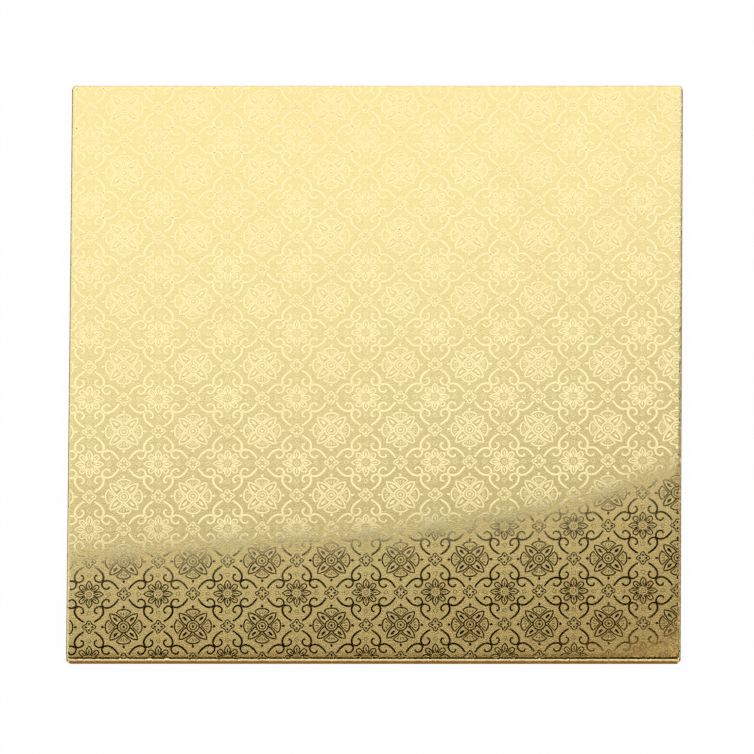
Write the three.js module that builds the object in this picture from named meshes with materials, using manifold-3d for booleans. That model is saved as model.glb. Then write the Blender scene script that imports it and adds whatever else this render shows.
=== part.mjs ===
// Cake board: a stiff square board wrapped in gold foil, with a paper lining pasted underneath.
// Millimetres, +Z up. The origin is the middle of the underside, and the front edge is at -Y.

import * as THREE from 'three';
import { mergeVertices } from 'three/addons/utils/BufferGeometryUtils.js';
import Module from 'manifold-3d';

const wasm = await Module();
wasm.setup();

// Overall size of the finished board
const boardWidth = 254;
const boardDepth = 254;
const boardThickness = 6.35;

// Rounding of the wrapped board: its corners in plan, its upper and its lower edges
const cornerRadius = 2;
const shoulderRadius = 1.6;
const heelRadius = 0.8;

// Foil wrap: wall, width of the flaps turned in underneath, and the open mitre joints between them
const foilWall = 0.3;
const flapWidth = 22;
const mitreGap = 0.6;
const mitreLand = 6;

// Paper lining: wall, distance from the board's edges, and the step down over the flaps
const paperWall = 0.2;
const paperInset = 7;
const stepClearance = 0.4;
const stepRun = 1.2;

// Embossing, a traditional repeat of medallions, flowers and lozenges on a square lattice: its height over
// the field, the spread of its sloping sides, its pitch, its turn from the board's edges and the medallion
// nearest the middle
const embossHeight = 0.2;
const embossSpread = 0.5;
const patternPitch = 28.65;
const patternTurn = THREE.MathUtils.degToRad(0.45);
const patternShiftX = 10.4;
const patternShiftY = 2.85;

// Reach of each motif from its own middle: leaf tips, fans and the notches between them
const medallionLeaf = 8.2;
const medallionFan = 7.4;
const medallionNotch = 5.6;
const flowerPetal = 5.9;
const flowerNotch = 3.2;
const lozengeTip = 2.9;

// Facets of a rounded corner and of a rounded edge
const cornerSteps = 3;
const edgeSteps = 3;

// How far a cutter runs past the wall it cuts, and how far off a flat face a needless point may lie
const cutterOverrun = 1;
const flatTolerance = 0.002;

// Levels
const embossTopZ = boardThickness;
const fieldZ = embossTopZ - embossHeight;
const foilFloorZ = paperWall;
const coreFloorZ = foilFloorZ + foilWall;
const coreTopZ = fieldZ - foilWall;

// Points of a rounded rectangle, anticlockwise, drawn in by an inset; radius 0 gives a plain rectangle
function roundedRectangle(inset, radius) {
  const halfX = boardWidth / 2 - inset;
  const halfY = boardDepth / 2 - inset;
  const quadrants = [[1, 1], [-1, 1], [-1, -1], [1, -1]];
  const steps = radius > 0 ? cornerSteps : 0;
  return quadrants.flatMap(([sideX, sideY], quadrant) =>
    Array.from({ length: steps + 1 }, (_, step) => {
      const angle = (quadrant + (steps ? step / steps : 0)) * Math.PI / 2;
      const x = sideX * (halfX - radius) + radius * Math.cos(angle);
      const y = sideY * (halfY - radius) + radius * Math.sin(angle);
      return new THREE.Vector2(x, y);
    }));
}

// Closed solid through a stack of equal outlines, each at its own level, with flat ends
function loft(layers) {
  const count = layers[0].outline.length;
  const positions = layers.flatMap(({ outline, z }) => outline.flatMap((point) => [point.x, point.y, z]));
  const faces = [];
  for (let layer = 0; layer + 1 < layers.length; layer += 1) {
    for (let corner = 0; corner < count; corner += 1) {
      const a = layer * count + corner;
      const b = layer * count + (corner + 1) % count;
      faces.push(a, b, b + count, a, b + count, a + count);
    }
  }
  const last = (layers.length - 1) * count;
  for (const [a, b, c] of THREE.ShapeUtils.triangulateShape(layers[0].outline, [])) {
    faces.push(a, c, b);
  }
  for (const [a, b, c] of THREE.ShapeUtils.triangulateShape(layers.at(-1).outline, [])) {
    faces.push(last + a, last + b, last + c);
  }
  const geometry = new THREE.BufferGeometry();
  geometry.setAttribute('position', new THREE.Float32BufferAttribute(positions, 3));
  geometry.setIndex(faces);
  return geometry;
}

// Quarter round from one side of an edge to the other, as pairs of inset and height
function quarterRound(radius) {
  return Array.from({ length: edgeSteps + 1 }, (_, step) => {
    const angle = step / edgeSteps * Math.PI / 2;
    return { inset: radius * (1 - Math.cos(angle)), rise: radius * Math.sin(angle) };
  });
}

// Flat slab with rounded corners, a rounded lower edge and a rounded upper edge
function roundedSlab({ inset, floorZ, ceilingZ, corner, shoulder, heel }) {
  const lower = quarterRound(heel).reverse().map((point) => [point.inset, floorZ + heel - point.rise]);
  const upper = quarterRound(shoulder).map((point) => [point.inset, ceilingZ - shoulder + point.rise]);
  return loft([...lower, ...upper].map(([drawnIn, z]) => {
    return { outline: roundedRectangle(inset + drawnIn, corner - drawnIn), z };
  }));
}

function toSolid(geometry) {
  const bare = geometry.clone();
  bare.deleteAttribute('normal');
  bare.deleteAttribute('uv');
  const merged = mergeVertices(bare);
  return new wasm.Manifold(new wasm.Mesh({
    numProp: 3,
    vertProperties: new Float32Array(merged.attributes.position.array),
    triVerts: new Uint32Array(merged.index.array),
  }));
}

function toGeometry(solid) {
  const { vertProperties, triVerts } = solid.getMesh();
  const geometry = new THREE.BufferGeometry();
  geometry.setAttribute('position', new THREE.BufferAttribute(vertProperties, 3));
  geometry.setIndex(new THREE.BufferAttribute(triVerts, 1));
  geometry.computeVertexNormals();
  return geometry;
}

function boxSolid(width, depth, height, x, y, z, turn = 0) {
  return toSolid(new THREE.BoxGeometry(width, depth, height).rotateZ(turn).translate(x, y, z));
}

// Stiff board: flat against the foil, with its edges rounded a little more than the foil's inside
function coreBoard() {
  return roundedSlab({
    inset: foilWall,
    floorZ: coreFloorZ,
    ceilingZ: coreTopZ,
    corner: cornerRadius,
    shoulder: shoulderRadius,
    heel: heelRadius,
  });
}

// Open joint between two flaps, from the window's corner out towards the board's corner
function mitreCutter(sideX, sideY) {
  const innerX = boardWidth / 2 - flapWidth - mitreGap;
  const innerY = boardDepth / 2 - flapWidth - mitreGap;
  const run = flapWidth + mitreGap - mitreLand;
  const x = sideX * (innerX + run / 2);
  const y = sideY * (innerY + run / 2);
  const height = foilWall + 2 * cutterOverrun;
  const turn = sideX * sideY * Math.PI / 4;
  return boxSolid(run * Math.SQRT2, mitreGap, height, x, y, foilFloorZ + foilWall / 2, turn);
}

// Outline with its points at equal angles round the middle, their reaches repeating in order
function star(pointCount, reaches, growth) {
  return Array.from({ length: pointCount }, (_, point) => {
    const angle = point / pointCount * Math.PI * 2;
    const reach = reaches[point % reaches.length] * growth;
    return new THREE.Vector2(reach * Math.cos(angle), reach * Math.sin(angle));
  });
}

// The motifs of one repeat, each at its place in parts of the pitch
const medallionReaches = [medallionFan, medallionNotch, medallionLeaf, medallionNotch];
const motifs = [
  { column: 0, row: 0, pointCount: 16, reaches: medallionReaches },
  { column: 0.5, row: 0.5, pointCount: 8, reaches: [flowerPetal, flowerNotch] },
  { column: 0.5, row: 0, pointCount: 4, reaches: [lozengeTip] },
  { column: 0, row: 0.5, pointCount: 4, reaches: [lozengeTip] },
];

// One motif round the origin, with flat sloping sides and its foot sunk half way into the foil
function raisedMotif({ pointCount, reaches }) {
  const growth = 1 + embossSpread / Math.max(...reaches);
  return loft([
    { outline: star(pointCount, reaches, growth), z: fieldZ - foilWall / 2 },
    { outline: star(pointCount, reaches, 1), z: embossTopZ },
  ]);
}

// Raised motifs over the whole flat top, cut off where the shoulder begins
function embossing() {
  const flatX = boardWidth / 2 - shoulderRadius;
  const flatY = boardDepth / 2 - shoulderRadius;
  const repeats = Math.ceil(Math.hypot(boardWidth, boardDepth) / 2 / patternPitch);
  const places = Array.from({ length: 2 * repeats + 1 }, (_, index) => index - repeats);
  const bosses = [];
  for (const motif of motifs) {
    const boss = raisedMotif(motif).rotateZ(patternTurn);
    const reach = Math.max(...motif.reaches) + embossSpread;
    for (const i of places) {
      for (const j of places) {
        const centre = new THREE.Vector2(i + motif.column, j + motif.row).multiplyScalar(patternPitch);
        centre.rotateAround(new THREE.Vector2(), patternTurn);
        centre.add(new THREE.Vector2(patternShiftX, patternShiftY));
        if (Math.abs(centre.x) - reach < flatX && Math.abs(centre.y) - reach < flatY) {
          bosses.push(toSolid(boss.clone().translate(centre.x, centre.y, 0)));
        }
      }
    }
  }
  const flatTop = boxSolid(2 * flatX, 2 * flatY, 2 * cutterOverrun, 0, 0, fieldZ);
  return wasm.Manifold.union(bosses).intersect(flatTop);
}

// One sheet over the top, round the sides and in under the board as four flaps with mitred ends
function foilWrap() {
  const outside = toSolid(roundedSlab({
    inset: 0,
    floorZ: foilFloorZ,
    ceilingZ: fieldZ,
    corner: cornerRadius,
    shoulder: shoulderRadius,
    heel: heelRadius,
  }));
  const inside = toSolid(roundedSlab({
    inset: foilWall,
    floorZ: coreFloorZ,
    ceilingZ: coreTopZ,
    corner: cornerRadius - foilWall,
    shoulder: shoulderRadius - foilWall,
    heel: heelRadius - foilWall,
  }));
  const window = boxSolid(
    boardWidth - 2 * flapWidth,
    boardDepth - 2 * flapWidth,
    foilWall + 2 * cutterOverrun,
    0,
    0,
    foilFloorZ + foilWall / 2,
  );
  let wrap = outside.subtract(inside).subtract(window);
  for (const [sideX, sideY] of [[1, 1], [-1, 1], [-1, -1], [1, -1]]) {
    wrap = wrap.subtract(mitreCutter(sideX, sideY));
  }
  return toGeometry(wrap.add(embossing()).asOriginal().simplify(flatTolerance));
}

// Lining: its border lies over the flaps, and its middle steps up to the board
function undersidePaper() {
  const stepInset = flapWidth + stepClearance;
  const layers = [
    { inset: stepInset + stepRun, z: foilWall },
    { inset: stepInset, z: 0 },
    { inset: paperInset, z: 0 },
    { inset: paperInset, z: paperWall },
    { inset: stepInset, z: paperWall },
    { inset: stepInset + stepRun, z: paperWall + foilWall },
  ];
  return loft(layers.map(({ inset, z }) => ({ outline: roundedRectangle(inset, 0), z })));
}

const greyboard = new THREE.MeshStandardMaterial({ color: 0xb9a98a, roughness: 0.95, metalness: 0 });
const goldFoil = new THREE.MeshStandardMaterial({ color: 0xe0c078, roughness: 0.35, metalness: 1 });
const whitePaper = new THREE.MeshStandardMaterial({ color: 0xeeeae0, roughness: 0.9, metalness: 0 });

const pieces = [
  { name: 'core_board', geometry: coreBoard(), material: greyboard },
  { name: 'foil_wrap', geometry: foilWrap(), material: goldFoil },
  { name: 'underside_paper', geometry: undersidePaper(), material: whitePaper },
];

const cakeBoard = new THREE.Group();
cakeBoard.name = 'cake_board';
for (const { name, geometry, material } of pieces) {
  const mesh = new THREE.Mesh(geometry, material);
  mesh.name = name;
  cakeBoard.add(mesh);
}

export default cakeBoard;
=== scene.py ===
import math
import bpy
import bmesh
from mathutils import Matrix, Vector, noise


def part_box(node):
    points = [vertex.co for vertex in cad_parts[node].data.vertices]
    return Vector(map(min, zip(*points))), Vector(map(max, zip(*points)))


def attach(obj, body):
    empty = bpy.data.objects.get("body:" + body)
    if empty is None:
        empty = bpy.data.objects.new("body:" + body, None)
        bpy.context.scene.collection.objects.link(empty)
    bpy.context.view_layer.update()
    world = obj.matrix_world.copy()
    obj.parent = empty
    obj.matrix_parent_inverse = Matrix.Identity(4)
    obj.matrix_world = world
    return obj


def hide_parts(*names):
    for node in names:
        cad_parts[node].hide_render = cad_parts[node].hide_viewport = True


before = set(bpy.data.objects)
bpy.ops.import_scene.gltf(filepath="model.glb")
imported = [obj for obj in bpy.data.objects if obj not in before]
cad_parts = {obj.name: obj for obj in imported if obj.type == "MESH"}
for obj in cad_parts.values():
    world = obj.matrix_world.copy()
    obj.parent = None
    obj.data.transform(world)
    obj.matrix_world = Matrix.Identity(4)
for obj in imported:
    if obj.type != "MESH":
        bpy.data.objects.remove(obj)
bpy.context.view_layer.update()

mm = 0.001

# the wrapped board, read off the frame
wrapLow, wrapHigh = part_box("foil_wrap")
board = {
    "halfX": wrapHigh.x,
    "halfY": wrapHigh.y,
    "fieldZ": wrapHigh.z - 0.12 * mm,  # the stippled field, which the embossing stands on
    "floorZ": wrapLow.z,
    "corner": 2.0 * mm,
    "shoulder": 1.1 * mm,
    "heel": 0.8 * mm,
    "flap": 22 * mm,
    "mitreGap": 0.6 * mm,
    "wall": 0.25 * mm,
}
board["flatX"] = board["halfX"] - board["shoulder"]
board["flatY"] = board["halfY"] - board["shoulder"]

# the photograph's frame and the sides of the board's top in it, in pixels
photo = {
    "size": 754,
    "topMiddle": (375.25, 371.3),
    "acrossTop": 612.5,  # length of the front edge
    "upTop": 574.7,  # height of the side edge
    "lean": 4.2,  # how far, in pixels, the side edge leans right on its way up
    "distance": 13.5,  # metres, far enough for sides that look parallel
    "sensor": 36.0,
}


def makeCamera():
    # the board is taken as square, so that the difference between its edges gives the camera's tilt
    shrink = 1 / photo["acrossTop"]
    for _ in range(20):  # unit vectors right and up that give the measured edges
        across = photo["acrossTop"] * shrink
        rise = photo["upTop"] * shrink
        lean = photo["lean"] * shrink
        upZ = math.sqrt(1 - rise ** 2)
        rightZ = -lean * rise / upZ
        shrink /= math.sqrt(across ** 2 + lean ** 2 + rightZ ** 2)
    right = Vector((across, lean, rightZ)).normalized()
    up = Vector((0, rise, upZ)).normalized()
    back = right.cross(up)
    metresPerPixel = 2 * board["halfX"] * shrink
    offsetX = photo["size"] / 2 - photo["topMiddle"][0]
    offsetY = photo["size"] / 2 - photo["topMiddle"][1]
    target = Vector((0, 0, board["fieldZ"])) + (right * offsetX - up * offsetY) * metresPerPixel
    camera = bpy.data.cameras.new("camera")
    camera.sensor_width = photo["sensor"]
    camera.lens = photo["sensor"] * photo["distance"] / (photo["size"] * metresPerPixel)
    camera.clip_start = 1
    camera.clip_end = 100
    holder = bpy.data.objects.new("camera", camera)
    bpy.context.collection.objects.link(holder)
    holder.location = target + back * photo["distance"]
    holder.rotation_euler = Matrix((right, up, back)).transposed().to_euler()
    bpy.context.scene.camera = holder


makeCamera()
print("camera made")


# node helpers

def addNode(tree, kind, place=(0, 0), **settings):
    node = tree.nodes.new(kind)
    node.location = place
    for name, value in settings.items():
        setattr(node, name, value)
    return node


def setInputs(node, values):
    for name, value in values.items():
        node.inputs[name].default_value = value


# shader groups that several materials share

def makeGrainGroup():
    # fine even bumps, as height, and the same bumps as a mask for the roughness
    tree = bpy.data.node_groups.new("fineGrain", "ShaderNodeTree")
    for name, low in (("Size", 0.0004), ("Softness", 0.5)):
        socket = tree.interface.new_socket(name, in_out="INPUT", socket_type="NodeSocketFloat")
        socket.default_value = low
    tree.interface.new_socket("Height", in_out="OUTPUT", socket_type="NodeSocketFloat")
    tree.interface.new_socket("Mask", in_out="OUTPUT", socket_type="NodeSocketFloat")
    inside = addNode(tree, "NodeGroupInput")
    outside = addNode(tree, "NodeGroupOutput", (900, 0))
    coords = addNode(tree, "ShaderNodeTexCoord")
    scale = addNode(tree, "ShaderNodeMath", (150, -200), operation="DIVIDE")
    scale.inputs[0].default_value = 1
    cells = addNode(tree, "ShaderNodeTexNoise", (350, 0))
    setInputs(cells, {"Detail": 2.0})
    broad = addNode(tree, "ShaderNodeTexNoise", (350, -300))
    setInputs(broad, {"Detail": 3.0, "Scale": 90.0})
    tree.links.new(inside.outputs["Size"], scale.inputs[1])
    tree.links.new(scale.outputs[0], cells.inputs["Scale"])
    tree.links.new(inside.outputs["Softness"], cells.inputs["Roughness"])
    tree.links.new(coords.outputs["Object"], cells.inputs["Vector"])
    tree.links.new(coords.outputs["Object"], broad.inputs["Vector"])
    both = addNode(tree, "ShaderNodeMath", (650, -150), operation="MULTIPLY")
    tree.links.new(cells.outputs["Fac"], both.inputs[0])
    tree.links.new(broad.outputs["Fac"], both.inputs[1])
    tree.links.new(cells.outputs["Fac"], outside.inputs["Height"])
    tree.links.new(both.outputs[0], outside.inputs["Mask"])
    return tree


def makeToneGroup():
    # slow drift between two colours over the piece
    tree = bpy.data.node_groups.new("slowTone", "ShaderNodeTree")
    for name in ("First", "Second"):
        tree.interface.new_socket(name, in_out="INPUT", socket_type="NodeSocketColor")
    socket = tree.interface.new_socket("Spread", in_out="INPUT", socket_type="NodeSocketFloat")
    socket.default_value = 20
    tree.interface.new_socket("Color", in_out="OUTPUT", socket_type="NodeSocketColor")
    inside = addNode(tree, "NodeGroupInput")
    outside = addNode(tree, "NodeGroupOutput", (900, 0))
    coords = addNode(tree, "ShaderNodeTexCoord")
    drift = addNode(tree, "ShaderNodeTexNoise", (250, 0))
    setInputs(drift, {"Detail": 3.0})
    spread = addNode(tree, "ShaderNodeMapRange", (450, 0))
    setInputs(spread, {"From Min": 0.3, "From Max": 0.7})
    mix = addNode(tree, "ShaderNodeMix", (650, 0), data_type="RGBA")
    tree.links.new(coords.outputs["Object"], drift.inputs["Vector"])
    tree.links.new(inside.outputs["Spread"], drift.inputs["Scale"])
    tree.links.new(drift.outputs["Fac"], spread.inputs["Value"])
    tree.links.new(spread.outputs["Result"], mix.inputs[0])
    tree.links.new(inside.outputs["First"], mix.inputs[6])
    tree.links.new(inside.outputs["Second"], mix.inputs[7])
    tree.links.new(mix.outputs[2], outside.inputs["Color"])
    return tree


grainGroup = makeGrainGroup()
toneGroup = makeToneGroup()


def finish(name, look):
    # one material from its dictionary: two tones, a grain for bump and roughness, and the fixed values
    material = bpy.data.materials.new(name)
    material.use_nodes = True
    tree = material.node_tree
    shader = tree.nodes["Principled BSDF"]
    for socket, value in look["fixed"].items():
        shader.inputs[socket].default_value = value
    tone = addNode(tree, "ShaderNodeGroup", (-900, 200), node_tree=toneGroup)
    tone.inputs["First"].default_value = (*look["tones"][0], 1)
    tone.inputs["Second"].default_value = (*look["tones"][1], 1)
    tone.inputs["Spread"].default_value = look["toneScale"]
    grain = addNode(tree, "ShaderNodeGroup", (-900, -200), node_tree=grainGroup)
    setInputs(grain, {"Size": look["grain"], "Softness": look["softness"]})
    rough = addNode(tree, "ShaderNodeMapRange", (-500, 0))
    smoothest, roughest = look["roughness"]
    setInputs(rough, {"From Min": 0.1, "From Max": 0.4, "To Min": smoothest, "To Max": roughest})
    bump = addNode(tree, "ShaderNodeBump", (-500, -300))
    setInputs(bump, {"Strength": look["bump"], "Distance": look["depth"]})
    tree.links.new(tone.outputs["Color"], shader.inputs["Base Color"])
    tree.links.new(grain.outputs["Mask"], rough.inputs["Value"])
    tree.links.new(rough.outputs["Result"], shader.inputs["Roughness"])
    tree.links.new(grain.outputs["Height"], bump.inputs["Height"])
    tree.links.new(bump.outputs["Normal"], shader.inputs["Normal"])
    return material


looks = {
    "stippledFoil": {
        "tones": ((0.89, 0.72, 0.31), (0.86, 0.74, 0.315)),
        "toneScale": 40,
        "grain": 0.36 * mm,
        "softness": 0.6,
        "roughness": (0.15, 0.22),
        "bump": 1.0,
        "depth": 0.09 * mm,
        "fixed": {"Metallic": 1.0, "Specular Tint": (1, 0.86, 0.55, 1), "Coat Weight": 0.5,
                  "Coat Roughness": 0.12, "Coat IOR": 1.8},
    },
    "polishedFoil": {
        "tones": ((0.92, 0.78, 0.40), (0.94, 0.82, 0.42)),
        "toneScale": 40,
        "grain": 0.6 * mm,
        "softness": 0.4,
        "roughness": (0.06, 0.1),
        "bump": 0.1,
        "depth": 0.02 * mm,
        "fixed": {"Metallic": 1.0, "Specular Tint": (1, 0.86, 0.55, 1), "Coat Weight": 0.5,
                  "Coat Roughness": 0.06, "Coat IOR": 1.8},
    },
    "liningPaper": {
        "tones": ((0.80, 0.79, 0.75), (0.87, 0.86, 0.82)),
        "toneScale": 60,
        "grain": 0.35 * mm,
        "softness": 0.7,
        "roughness": (0.75, 0.95),
        "bump": 0.3,
        "depth": 0.05 * mm,
        "fixed": {"Specular IOR Level": 0.3},
    },
    "stiffBoard": {
        "tones": ((0.40, 0.33, 0.23), (0.50, 0.42, 0.31)),
        "toneScale": 150,
        "grain": 0.5 * mm,
        "softness": 0.8,
        "roughness": (0.8, 1.0),
        "bump": 0.5,
        "depth": 0.1 * mm,
        "fixed": {"Specular IOR Level": 0.2},
    },
}
finishes = {name: finish(name, look) for name, look in looks.items()}
print("finishes made")


# where a point of the flat embossed sheet ends up once the sheet is wrapped round the board
wave = {"height": 0.03 * mm, "length": 70 * mm, "fade": 12 * mm}
roll = {"arc": board["shoulder"] * math.pi / 2}
roll["drop"] = board["fieldZ"] - board["shoulder"] - board["floorZ"] - board["heel"]


def sheetWave(x, y):
    edge = min(board["flatX"] - abs(x), board["flatY"] - abs(y))
    fade = min(max(edge / wave["fade"], 0), 1)
    return wave["height"] * fade * noise.noise(Vector((x, y, 0)) / wave["length"])


def rollOver(past, lift):
    # how far out and how high a point lies that is past the flat top by that length of sheet
    radius = board["shoulder"]
    if past < roll["arc"]:
        angle = past / radius
        return (radius + lift) * math.sin(angle), board["fieldZ"] - radius + (radius + lift) * math.cos(angle)
    return radius + lift, board["fieldZ"] - radius - (past - roll["arc"])


def wrapPoint(x, y, lift):
    pastX = abs(x) - board["flatX"]
    pastY = abs(y) - board["flatY"]
    if pastX > 0 and pastX >= pastY:
        out, z = rollOver(pastX, lift)
        return Vector((math.copysign(board["flatX"] + out, x), y, z))
    if pastY > 0:
        out, z = rollOver(pastY, lift)
        return Vector((x, math.copysign(board["flatY"] + out, y), z))
    return Vector((x, y, board["fieldZ"] + sheetWave(x, y) + lift))


# the foil sheet itself: flat top, shoulders, sides, heels and four flaps with mitred ends
sheet = {"cells": 96, "cornerSteps": 5, "edgeSteps": 6, "heelSteps": 4, "flapSteps": 3}


def outlineRing(bm, inset, z, corner):
    # points along the four sides, as many as the top's grid has, with an arc at each corner
    halfX = board["halfX"] - inset
    halfY = board["halfY"] - inset
    points = []
    for quarter in range(4):
        turn = Matrix.Rotation(quarter * math.pi / 2, 2)
        long, wide = (halfX, halfY) if quarter % 2 == 0 else (halfY, halfX)
        for step in range(sheet["cells"] + 1):
            along = (2 * step / sheet["cells"] - 1) * (long - corner)
            points.append(turn @ Vector((along, -wide)))
        for step in range(1, sheet["cornerSteps"]):
            angle = -math.pi / 2 + step / sheet["cornerSteps"] * math.pi / 2
            arc = Vector((math.cos(angle), math.sin(angle))) * corner
            points.append(turn @ (Vector((long - corner, corner - wide)) + arc))
    return [bm.verts.new((point.x, point.y, z)) for point in points]


def joinRings(bm, lower, upper, keep=lambda column: True):
    count = len(lower)
    for column in range(count):
        if keep(column):
            after = (column + 1) % count
            bm.faces.new((lower[column], lower[after], upper[after], upper[column]))


def makeSheet():
    bm = bmesh.new()
    onSide = lambda column: column % (sheet["cells"] + sheet["cornerSteps"]) < sheet["cells"]
    heel = board["heel"]
    rings = []
    # from the outer end of the flaps up to the flat top
    for step in range(sheet["heelSteps"] + 1):
        angle = step / sheet["heelSteps"] * math.pi / 2
        inset = heel * (1 - math.sin(angle))
        z = board["floorZ"] + heel * (1 - math.cos(angle))
        rings.append(outlineRing(bm, inset, z, board["corner"] - inset))
    for step in range(sheet["edgeSteps"] + 1):
        angle = step / sheet["edgeSteps"] * math.pi / 2
        inset = board["shoulder"] * (1 - math.cos(angle))
        z = board["fieldZ"] - board["shoulder"] * (1 - math.sin(angle))
        rings.append(outlineRing(bm, inset, z, board["corner"] * math.cos(angle)))
    for lower, upper in zip(rings, rings[1:]):
        joinRings(bm, lower, upper)
    # the flaps, whose ends stop short of the corners' diagonals
    inner = rings[0]
    for step in range(1, sheet["flapSteps"] + 1):
        inset = heel + (board["flap"] - heel) * step / sheet["flapSteps"]
        outer = inner
        inner = outlineRing(bm, inset, board["floorZ"], board["mitreGap"] / 2)
        joinRings(bm, inner, outer, onSide)
    # the flat top
    cells = sheet["cells"]
    grid = [[None] * (cells + 1) for _ in range(cells + 1)]
    for i in range(cells + 1):
        for j in range(cells + 1):
            x = (2 * i / cells - 1) * board["flatX"]
            y = (2 * j / cells - 1) * board["flatY"]
            grid[i][j] = bm.verts.new(wrapPoint(x, y, 0))
    for i in range(cells):
        for j in range(cells):
            bm.faces.new((grid[i][j], grid[i + 1][j], grid[i + 1][j + 1], grid[i][j + 1]))
    bmesh.ops.remove_doubles(bm, verts=bm.verts, dist=0.001 * mm)
    loose = [vertex for vertex in bm.verts if not vertex.link_faces]
    bmesh.ops.delete(bm, geom=loose, context="VERTS")
    bmesh.ops.recalc_face_normals(bm, faces=bm.faces)
    mesh = bpy.data.meshes.new("foil_sheet")
    bm.to_mesh(mesh)
    bm.free()
    piece = bpy.data.objects.new("foil_sheet", mesh)
    bpy.context.collection.objects.link(piece)
    wall = piece.modifiers.new("wall", "SOLIDIFY")
    wall.thickness = board["wall"]
    wall.offset = -1
    return bake(piece, "foil_sheet", finishes["stippledFoil"])


def bake(source, name, material):
    # a plain mesh object from what the modifiers give
    graph = bpy.context.evaluated_depsgraph_get()
    mesh = bpy.data.meshes.new_from_object(source.evaluated_get(graph), depsgraph=graph)
    bpy.data.objects.remove(source)
    mesh.name = name
    mesh.materials.clear()
    mesh.materials.append(material)
    mesh.polygons.foreach_set("material_index", [0] * len(mesh.polygons))
    mesh.shade_smooth()
    piece = bpy.data.objects.new(name, mesh)
    bpy.context.collection.objects.link(piece)
    return piece


foilSheet = makeSheet()
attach(foilSheet, "root")
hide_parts("foil_wrap")
print("foil sheet made:", len(foilSheet.data.polygons), "faces")


# the embossing: every line is a low bead with a flat top, every filled mark a low plate
emboss = {
    "pitch": 28.65 * mm,
    "turn": math.radians(0.45),
    "shift": (10.4 * mm, 2.85 * mm),
    "copies": 11,
    "foot": 0.58 * mm,  # width of a line of weight 1 at its sunk foot
    "crown": 0.42 * mm,  # and on top
    "height": 0.04 * mm,
    "sink": 0.02 * mm,
    "plateTop": 0.88,  # a plate's top against its foot
    "sharp": math.radians(20),
}


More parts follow.
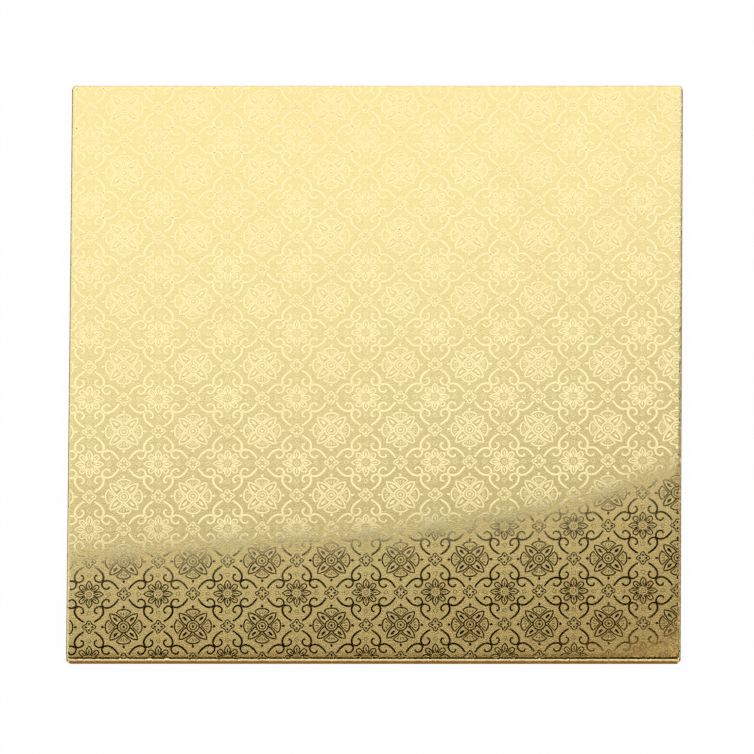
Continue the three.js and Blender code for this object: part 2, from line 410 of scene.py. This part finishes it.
def makeRepeatTree():
    tree = bpy.data.node_groups.new("embossRepeat", "GeometryNodeTree")
    face = tree.interface
    face.new_socket("Geometry", in_out="INPUT", socket_type="NodeSocketGeometry")
    sizes = ("Pitch", "Turn", "Shift X", "Shift Y", "Foot", "Crown", "Height", "Sink", "Plate Top")
    for name in sizes:
        face.new_socket(name, in_out="INPUT", socket_type="NodeSocketFloat")
    face.new_socket("Copies", in_out="INPUT", socket_type="NodeSocketInt")
    face.new_socket("Material", in_out="INPUT", socket_type="NodeSocketMaterial")
    face.new_socket("Geometry", in_out="OUTPUT", socket_type="NodeSocketGeometry")
    inside = addNode(tree, "NodeGroupInput", (-900, 0))
    outside = addNode(tree, "NodeGroupOutput", (1200, 0))
    link = tree.links.new

    def sums(operation, first, second, place):
        node = addNode(tree, "ShaderNodeMath", place, operation=operation)
        for socket, value in zip(node.inputs, (first, second)):
            if isinstance(value, (int, float)):
                socket.default_value = value
            else:
                link(value, socket)
        return node.outputs[0]

    # curves of no radius outline plates, the others are lines
    radius = addNode(tree, "GeometryNodeInputRadius", (-900, -250))
    isLine = sums("GREATER_THAN", radius.outputs[0], 0.01, (-750, -250))
    kinds = addNode(tree, "GeometryNodeSeparateGeometry", (-600, 0), domain="CURVE")
    link(inside.outputs["Geometry"], kinds.inputs["Geometry"])
    link(isLine, kinds.inputs["Selection"])
    # the section of a line, its foot sunk into the sheet
    deep = sums("ADD", inside.outputs["Height"], inside.outputs["Sink"], (-600, -400))
    lift = sums("SUBTRACT", inside.outputs["Height"], inside.outputs["Sink"], (-600, -550))
    middle = sums("MULTIPLY", lift, 0.5, (-400, -550))
    section = addNode(tree, "GeometryNodeCurvePrimitiveQuadrilateral", (-300, -350), mode="TRAPEZOID")
    link(inside.outputs["Foot"], section.inputs["Bottom Width"])
    link(inside.outputs["Crown"], section.inputs["Top Width"])
    section.inputs["Offset"].default_value = 0
    link(deep, section.inputs["Height"])
    seat = addNode(tree, "ShaderNodeCombineXYZ", (-200, -550))
    link(middle, seat.inputs["Y"])
    seated = addNode(tree, "GeometryNodeTransform", (-50, -350))
    link(section.outputs["Curve"], seated.inputs["Geometry"])
    link(seat.outputs[0], seated.inputs["Translation"])
    upright = addNode(tree, "GeometryNodeSetCurveNormal", (-300, 0))
    setMode(upright, "Z_UP")
    link(kinds.outputs["Selection"], upright.inputs["Curve"])
    beads = addNode(tree, "GeometryNodeCurveToMesh", (100, 0))
    beads.inputs["Fill Caps"].default_value = True
    link(upright.outputs["Curve"], beads.inputs["Curve"])
    link(radius.outputs[0], beads.inputs["Scale"])
    link(seated.outputs["Geometry"], beads.inputs["Profile Curve"])
    # the plates: filled outlines, raised, drawn in a little on top and closed below
    filled = addNode(tree, "GeometryNodeFillCurve", (-300, -900))
    setMode(filled, "NGONS")
    link(kinds.outputs["Inverted"], filled.inputs["Curve"])
    raised = addNode(tree, "GeometryNodeExtrudeMesh", (-100, -900))
    raised.inputs["Individual"].default_value = False
    link(filled.outputs["Mesh"], raised.inputs["Mesh"])
    link(deep, raised.inputs["Offset Scale"])
    drawn = addNode(tree, "GeometryNodeScaleElements", (100, -900))
    link(raised.outputs["Mesh"], drawn.inputs["Geometry"])
    link(raised.outputs["Top"], drawn.inputs["Selection"])
    link(inside.outputs["Plate Top"], drawn.inputs["Scale"])
    under = addNode(tree, "GeometryNodeFlipFaces", (100, -1100))
    link(filled.outputs["Mesh"], under.inputs["Mesh"])
    plates = addNode(tree, "GeometryNodeJoinGeometry", (300, -900))
    link(drawn.outputs["Geometry"], plates.inputs["Geometry"])
    link(under.outputs["Mesh"], plates.inputs["Geometry"])
    sealed = addNode(tree, "GeometryNodeMergeByDistance", (450, -900))
    sealed.inputs["Distance"].default_value = 1e-6
    link(plates.outputs["Geometry"], sealed.inputs["Geometry"])
    down = addNode(tree, "ShaderNodeCombineXYZ", (300, -1100))
    link(sums("MULTIPLY", inside.outputs["Sink"], -1, (100, -1300)), down.inputs["Z"])
    sunk = addNode(tree, "GeometryNodeTransform", (600, -900))
    link(sealed.outputs["Geometry"], sunk.inputs["Geometry"])
    link(down.outputs[0], sunk.inputs["Translation"])
    motif = addNode(tree, "GeometryNodeJoinGeometry", (250, 0))
    link(beads.outputs["Mesh"], motif.inputs["Geometry"])
    link(sunk.outputs["Geometry"], motif.inputs["Geometry"])
    # the lattice that carries one motif at each crossing
    span = sums("SUBTRACT", inside.outputs["Copies"], 1, (-600, 250))
    reach = sums("MULTIPLY", span, inside.outputs["Pitch"], (-400, 250))
    lattice = addNode(tree, "GeometryNodeMeshGrid", (-200, 250))
    for name in ("Size X", "Size Y"):
        link(reach, lattice.inputs[name])
    for name in ("Vertices X", "Vertices Y"):
        link(inside.outputs["Copies"], lattice.inputs[name])
    copies = addNode(tree, "GeometryNodeInstanceOnPoints", (400, 100))
    link(lattice.outputs["Mesh"], copies.inputs["Points"])
    link(motif.outputs["Geometry"], copies.inputs["Instance"])
    shift = addNode(tree, "ShaderNodeCombineXYZ", (400, -200))
    link(inside.outputs["Shift X"], shift.inputs["X"])
    link(inside.outputs["Shift Y"], shift.inputs["Y"])
    turn = addNode(tree, "ShaderNodeCombineXYZ", (400, -350))
    link(inside.outputs["Turn"], turn.inputs["Z"])
    placed = addNode(tree, "GeometryNodeTransform", (600, 0))
    link(copies.outputs["Instances"], placed.inputs["Geometry"])
    link(shift.outputs[0], placed.inputs["Translation"])
    link(turn.outputs[0], placed.inputs["Rotation"])
    real = addNode(tree, "GeometryNodeRealizeInstances", (800, 0))
    link(placed.outputs["Geometry"], real.inputs["Geometry"])
    paint = addNode(tree, "GeometryNodeSetMaterial", (1000, 0))
    link(real.outputs["Geometry"], paint.inputs["Geometry"])
    link(inside.outputs["Material"], paint.inputs["Material"])
    link(paint.outputs["Geometry"], outside.inputs["Geometry"])
    return tree


def setMode(node, mode):
    # the mode is a property in some versions of the node and a menu socket in others
    if hasattr(node, "mode"):
        node.mode = mode
    else:
        node.inputs["Mode"].default_value = mode


repeatTree = makeRepeatTree()


# outlines of the motifs, all as lists of (x, y) in millimetres round the motif's own middle

def smooth(points, steps, closed=False):
    # a round curve through the points
    count = len(points)
    spans = count if closed else count - 1
    result = []
    for span in range(spans):
        near = [span - 1, span, span + 1, span + 2]
        four = [Vector(points[i % count] if closed else points[min(max(i, 0), count - 1)]) for i in near]
        for step in range(steps):
            t = step / steps
            straight = four[1] * 2 + (four[2] - four[0]) * t
            bend = (four[0] * 2 - four[1] * 5 + four[2] * 4 - four[3]) * t ** 2
            twist = (four[1] * 3 - four[0] - four[2] * 3 + four[3]) * t ** 3
            result.append((straight + bend + twist) / 2)
    if not closed:
        result.append(Vector(points[-1]))
    return result


def ring(radius, steps):
    return [Vector((math.cos(a), math.sin(a))) * radius for a in (k / steps * math.tau for k in range(steps))]


def turned(points, angle):
    turn = Matrix.Rotation(angle, 2)
    return [turn @ Vector(point) for point in points]


def moved(points, x, y):
    return [Vector(point) + Vector((x, y)) for point in points]


def mirrored(points):
    return [Vector((-point[0], point[1])) for point in points]


def quarters(lines, start=0.0):
    # the same lines at the four quarters
    return [dict(each, points=turned(each["points"], start + quarter * math.pi / 2))
            for quarter in range(4) for each in lines]


def line(points, weight=1.0, closed=True):
    return {"points": points, "weight": weight, "closed": closed}


def blob(start, end, halfWidth, steps=10, belly=0.5):
    # the outline of a filled drop along +x, widest at that share of its length
    points = []
    for step in range(steps):
        angle = step / steps * math.tau
        along = (1 - math.cos(angle)) / 2
        bent = along ** (math.log(belly) / math.log(0.5))
        points.append(Vector((start + (end - start) * bent, -halfWidth * math.sin(angle))))
    return line(points, 0)


half = emboss["pitch"] / mm / 2

medallion = {
    "eye": 0.66, "rings": ((1.5, 14, 0.8), (2.55, 18, 1.0)),
    "leaf": ((2.0, 1.55), (2.9, 1.74), (3.9, 1.76), (5.3, 1.52), (6.9, 0.94), (8.1, 0)),
    "seed": (3.3, 6.3, 0.6),
    "fan": ((3.6, 0), (6.3, 3.0), (7.1, 2.15), (7.5, 1.1), (7.62, 0)),
    "ticks": (((5.1, 0), (6.5, 0)), ((5.3, 0.8), (6.4, 1.35))),
    "dot": (7.95, 9.5, 0.66),
    "leafWeight": 1.05, "fanWeight": 1.05, "tickWeight": 0.5,
}


def medallionLines():
    m = medallion
    lines = [blob(-m["eye"], m["eye"], m["eye"])]
    lines += [line(ring(radius, steps), weight) for radius, steps, weight in m["rings"]]
    side = smooth(m["leaf"], 2)
    leaf = side + [Vector((point.x, -point.y)) for point in reversed(side[:-1])]
    lines += quarters([line(leaf, m["leafWeight"], closed=False), blob(*m["seed"])], math.pi / 4)
    foot, upper = m["fan"][0], smooth(m["fan"][1:], 2)
    fan = [Vector(foot)] + upper + [Vector((point.x, -point.y)) for point in reversed(upper[:-1])]
    inner = [line(fan, m["fanWeight"])]
    for (startX, startY), (endX, endY) in m["ticks"]:
        for way in (1, -1) if startY else (1,):
            tick = [(startX, way * startY), (endX, way * endY)]
            inner.append(line(tick, m["tickWeight"], closed=False))
    return lines + quarters(inner)


def dotLines():
    return quarters([blob(*medallion["dot"])])


flower = {
    "petalWeight": 0.95, "eye": 0.25, "ring": (0.95, 10, 0.4),
    "pointed": ((1.85, 0.3), (2.6, 0.8), (3.7, 1.2), (4.8, 0.88), (5.95, 0)),
    "pointedSeed": (2.2, 4.9, 0.36),
    "blunt": ((1.85, 0.3), (2.6, 0.72), (3.6, 0.98), (4.5, 0.98), (5.1, 0.7), (5.35, 0)),
    "bluntSeed": (2.3, 4.4, 0.34),
    "satellite": (0.8, 10, 0.3), "satelliteReach": 8.15, "satelliteDot": 0.1,
}


def flowerLines():
    f = flower
    lines = [blob(-f["eye"], f["eye"], f["eye"]), line(ring(*f["ring"][:2]), f["ring"][2])]
    for name, start in (("pointed", 0), ("blunt", math.pi / 4)):
        side = smooth(f[name], 2)
        whole = side + [Vector((point.x, -point.y)) for point in reversed(side[:-1])]
        petal = line(whole, f["petalWeight"], closed=False)
        lines += quarters([petal, blob(*f[name + "Seed"])], start)
    reach, dot = f["satelliteReach"], f["satelliteDot"]
    lines += quarters([
        line(moved(ring(*f["satellite"][:2]), reach, 0), f["satellite"][2]),
        blob(reach - dot, reach + dot, dot, 6),
    ])
    return [dict(each, points=moved(each["points"], half, half)) for each in lines]


scroll = {
    "arm": ((2.1, 12.2), (3.7, 11.15), (5.15, 9.7), (5.95, 8.0), (5.85, 6.55), (5.25, 5.6), (4.3, 5.3),
            (2.95, 5.85), (2.25, 7.05), (2.6, 8.15), (3.5, 8.35)),
    "weight": (1.2, 1.45, 1.5, 1.5, 1.45, 1.4, 1.35, 1.3, 1.3, 1.3, 1.4),
    "steps": 2,
}


def scrollLines():
    points = smooth(scroll["arm"], scroll["steps"])
    weights = [pair[0] for pair in smooth([(weight, 0) for weight in scroll["weight"]], scroll["steps"])]
    arm = dict(line(points, weights, closed=False))
    pair = [arm, dict(arm, points=mirrored(arm["points"]))]
    return [dict(each, points=moved(each["points"], half, half)) for each in quarters(pair)]


lozenge = {
    "lobe": ((2.85, 0), (2.42, 0.66), (1.72, 0.94), (1.26, 1.26), (0.94, 1.72), (0.66, 2.42)),
    "drop": (0.6, 2.0, 0.56, 8, 0.6),
    "weight": 0.85,
}


def lozengeLines():
    outline = []
    for quarter in range(4):
        outline += turned(lozenge["lobe"], quarter * math.pi / 2)
    motif = [line(outline, lozenge["weight"])] + quarters([blob(*lozenge["drop"])])
    places = ((half, 0), (0, half))
    return [dict(each, points=moved(each["points"], *place)) for place in places for each in motif]


def embossPiece(name, lines):
    curve = bpy.data.curves.new(name, "CURVE")
    curve.dimensions = "3D"
    for each in lines:
        spline = curve.splines.new("POLY")
        spline.points.add(len(each["points"]) - 1)
        spline.use_cyclic_u = each["closed"]
        weights = each["weight"]
        if not isinstance(weights, list):
            weights = [weights] * len(each["points"])
        for point, weight, spot in zip(each["points"], weights, spline.points):
            spot.co = (point[0] * mm, point[1] * mm, 0, 1)
            spot.radius = weight
    source = bpy.data.objects.new(name, curve)
    bpy.context.collection.objects.link(source)
    repeat = source.modifiers.new("repeat", "NODES")
    repeat.node_group = repeatTree
    values = {
        "Pitch": emboss["pitch"], "Turn": emboss["turn"],
        "Shift X": emboss["shift"][0], "Shift Y": emboss["shift"][1],
        "Foot": emboss["foot"], "Crown": emboss["crown"], "Height": emboss["height"], "Sink": emboss["sink"],
        "Plate Top": emboss["plateTop"], "Copies": emboss["copies"], "Material": finishes["polishedFoil"],
    }
    for socket in repeatTree.interface.items_tree:
        if socket.in_out == "INPUT" and socket.name in values:
            repeat[socket.identifier] = values[socket.name]
    piece = bake(source, name, finishes["polishedFoil"])
    wrapPiece(piece.data)
    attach(piece, "root")
    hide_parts("foil_wrap")
    print(name, "made:", sum(len(face.vertices) - 2 for face in piece.data.polygons), "triangles")
    return piece


def wrapPiece(mesh):
    # cuts the flat copies at the edge of the sheet and at its corners, closes the cuts and wraps what is left
    bm = bmesh.new()
    bm.from_mesh(mesh)
    for axis, flat in ((0, board["flatX"]), (1, board["flatY"])):
        for way in (1, -1):
            normal = Vector((0, 0, 0))
            normal[axis] = way
            for reach, clear in ((flat + roll["arc"] + roll["drop"], True), (flat, False)):
                everything = bm.verts[:] + bm.edges[:] + bm.faces[:]
                bmesh.ops.bisect_plane(bm, geom=everything, dist=1e-7, plane_co=normal * reach,
                                       plane_no=normal, clear_outer=clear)
    corners = [face for face in bm.faces if isOverCorner(face.calc_center_median())]
    bmesh.ops.delete(bm, geom=corners, context="FACES")
    rims = [edge for edge in bm.edges if edge.is_boundary]
    bmesh.ops.holes_fill(bm, edges=rims, sides=0)
    for vertex in bm.verts:
        vertex.co = wrapPoint(*vertex.co)
    bm.to_mesh(mesh)
    bm.free()
    mesh.shade_smooth()
    mesh.set_sharp_from_angle(angle=emboss["sharp"])


def isOverCorner(point):
    return abs(point.x) > board["flatX"] and abs(point.y) > board["flatY"]


embossed = [
    embossPiece("emboss_medallions", medallionLines()),
    embossPiece("emboss_dots", dotLines()),
    embossPiece("emboss_flowers", flowerLines()),
    embossPiece("emboss_scrolls", scrollLines()),
    embossPiece("emboss_lozenges", lozengeLines()),
]


# the two plain sheets keep their solids and get their finishes
for node, finishName in (("underside_paper", "liningPaper"), ("core_board", "stiffBoard")):
    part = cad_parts[node]
    for place in part.material_slots:
        place.material = finishes[finishName]
    if not part.material_slots:
        part.data.materials.append(finishes[finishName])


# studio: a soft box above and behind, flags and a warm card above the front, white floor and surroundings;
# places and colours were found by trial against the photograph
studio = {
    "boxHeight": 0.45,
    "boxSize": (1.1, 0.9),
    "boxPower": 0.35,
    # the front edge of the softbox, which the flag follows, from left to right
    "edge": ((-1.5, -68 * mm), (-116 * mm, 80 * mm), (-73 * mm, 85 * mm), (0, 91 * mm), (76 * mm, 104 * mm),
             (118 * mm, 120 * mm), (1.5, 594 * mm)),
    # the flag is this deep; then come a warm card, also so deep, and a second flag
    "flag": 80 * mm,
    "warm": 55 * mm,
    "warmColor": (0.75, 0.52, 0.25),
    "flagReach": 1.5,
    "flagColor": (0.014, 0.006, 0.001),
    # low cards beside the board, seen only in reflections: painted shade that stands in for the floor's
    # shadow close to the board; how wide, how bright
    "front": (2.5 * mm, (0.26, 0.14, 0.06)),
    "sides": (80 * mm, (0.14, 0.10, 0.03)),
    "floor": 6.0,
    "floorColor": (0.9, 0.9, 0.9, 1),
    "floorGlow": 0.95,  # share of plain white in what the camera sees of the floor
    "floorDrop": 0.05 * mm,  # so that the floor and the paper don't share a plane
}


def makeCard(name, corners, color):
    # seen in reflections only
    mesh = bpy.data.meshes.new(name)
    mesh.from_pydata(corners, [], [tuple(range(len(corners)))])
    material = bpy.data.materials.new(name)
    material.use_nodes = True
    tree = material.node_tree
    tree.nodes.remove(tree.nodes["Principled BSDF"])
    glow = addNode(tree, "ShaderNodeEmission")
    glow.inputs["Color"].default_value = (*color, 1)
    tree.links.new(glow.outputs[0], tree.nodes["Material Output"].inputs["Surface"])
    mesh.materials.append(material)
    card = bpy.data.objects.new(name, mesh)
    bpy.context.collection.objects.link(card)
    for kind in ("camera", "diffuse", "shadow", "transmission", "volume_scatter"):
        setattr(card, "visible_" + kind, False)


def makeStudio():
    across, deep = studio["boxSize"]
    height = studio["boxHeight"]
    lamp = bpy.data.lights.new("softbox", "AREA")
    lamp.shape = "RECTANGLE"
    lamp.size, lamp.size_y = across, deep
    lamp.energy = studio["boxPower"]
    holder = bpy.data.objects.new("softbox", lamp)
    bpy.context.collection.objects.link(holder)
    holder.location = (0, studio["edge"][3][1] + deep / 2, height)
    holder.visible_camera = False
    edge = [(x, y, height) for x, y in studio["edge"]]
    inner = [(x, y - studio["flag"], height) for x, y in studio["edge"]]
    outer = [(x, y - studio["warm"], height) for x, y, height in inner]
    near = [(x, -studio["flagReach"], height) for x in (edge[-1][0], edge[0][0])]
    makeCard("flag", edge + inner[::-1], studio["flagColor"])
    makeCard("warmCard", inner + outer[::-1], studio["warmColor"])
    makeCard("frontFlag", outer + near, studio["flagColor"])
    low = board["floorZ"] / 2
    x, y = board["halfX"], board["halfY"]
    # painted shade: a brown card in front of the board, where the front edge would reflect the floor's shadow
    reach, color = studio["front"]
    makeCard("frontShadeCard", [(-x, -y - reach, low), (x, -y - reach, low), (x, -y, low), (-x, -y, low)], color)
    # painted shade: brown cards at both sides, where the side edges would reflect the floor's shadow
    reach, color = studio["sides"]
    for name, way in (("leftShadeCard", -1), ("rightShadeCard", 1)):
        near, far = way * x, way * (x + reach)
        back = y + reach
        makeCard(name, [(near, -y, low), (far, -y, low), (far, back, low), (near, back, low)], color)


def whiteToCamera(tree):
    # white for what the camera and the metal's reflections see
    path = addNode(tree, "ShaderNodeLightPath", (-600, 300))
    seen = addNode(tree, "ShaderNodeMath", (-400, 300), operation="MAXIMUM")
    tree.links.new(path.outputs["Is Camera Ray"], seen.inputs[0])
    tree.links.new(path.outputs["Is Glossy Ray"], seen.inputs[1])
    both = addNode(tree, "ShaderNodeMath", (-200, 300), operation="MAXIMUM")
    tree.links.new(seen.outputs[0], both.inputs[0])
    tree.links.new(path.outputs["Is Transmission Ray"], both.inputs[1])
    return both.outputs[0]


def makeWorld():
    world = bpy.data.worlds.new("whiteRoom")
    bpy.context.scene.world = world
    world.use_nodes = True
    tree = world.node_tree
    glow = tree.nodes["Background"]
    glow.inputs["Color"].default_value = (1, 1, 1, 1)
    glow.inputs["Strength"].default_value = 1


def makeFloor():
    size = studio["floor"] / 2
    mesh = bpy.data.meshes.new("floor")
    low = -studio["floorDrop"]
    mesh.from_pydata([(-size, -size, low), (size, -size, low), (size, size, low), (-size, size, low)],
                     [], [(0, 1, 2, 3)])
    white = bpy.data.materials.new("whiteFloor")
    white.use_nodes = True
    tree = white.node_tree
    matte = tree.nodes["Principled BSDF"]
    setInputs(matte, {"Base Color": studio["floorColor"], "Roughness": 0.9, "Specular IOR Level": 0.0})
    glow = addNode(tree, "ShaderNodeEmission", (0, -300))
    mix = addNode(tree, "ShaderNodeMixShader", (300, 0))
    share = addNode(tree, "ShaderNodeMath", (100, 300), operation="MULTIPLY")
    share.inputs[1].default_value = studio["floorGlow"]
    tree.links.new(whiteToCamera(tree), share.inputs[0])
    tree.links.new(share.outputs[0], mix.inputs[0])
    tree.links.new(matte.outputs[0], mix.inputs[1])
    tree.links.new(glow.outputs[0], mix.inputs[2])
    # clear from below and for soft light, so that the underside can be seen
    side = addNode(tree, "ShaderNodeNewGeometry", (300, 300))
    light = addNode(tree, "ShaderNodeLightPath", (300, 600))
    seeThrough = addNode(tree, "ShaderNodeMath", (450, 300), operation="MAXIMUM")
    tree.links.new(side.outputs["Backfacing"], seeThrough.inputs[0])
    tree.links.new(light.outputs["Is Diffuse Ray"], seeThrough.inputs[1])
    clear = addNode(tree, "ShaderNodeBsdfTransparent", (300, -300))
    whole = addNode(tree, "ShaderNodeMixShader", (600, 0))
    tree.links.new(seeThrough.outputs[0], whole.inputs[0])
    tree.links.new(mix.outputs[0], whole.inputs[1])
    tree.links.new(clear.outputs[0], whole.inputs[2])
    tree.links.new(whole.outputs[0], tree.nodes["Material Output"].inputs["Surface"])
    mesh.materials.append(white)
    floor = bpy.data.objects.new("floor", mesh)
    bpy.context.collection.objects.link(floor)


makeStudio()
makeWorld()
makeFloor()
print("studio made")

bpy.context.scene.view_settings.view_transform = "Standard"
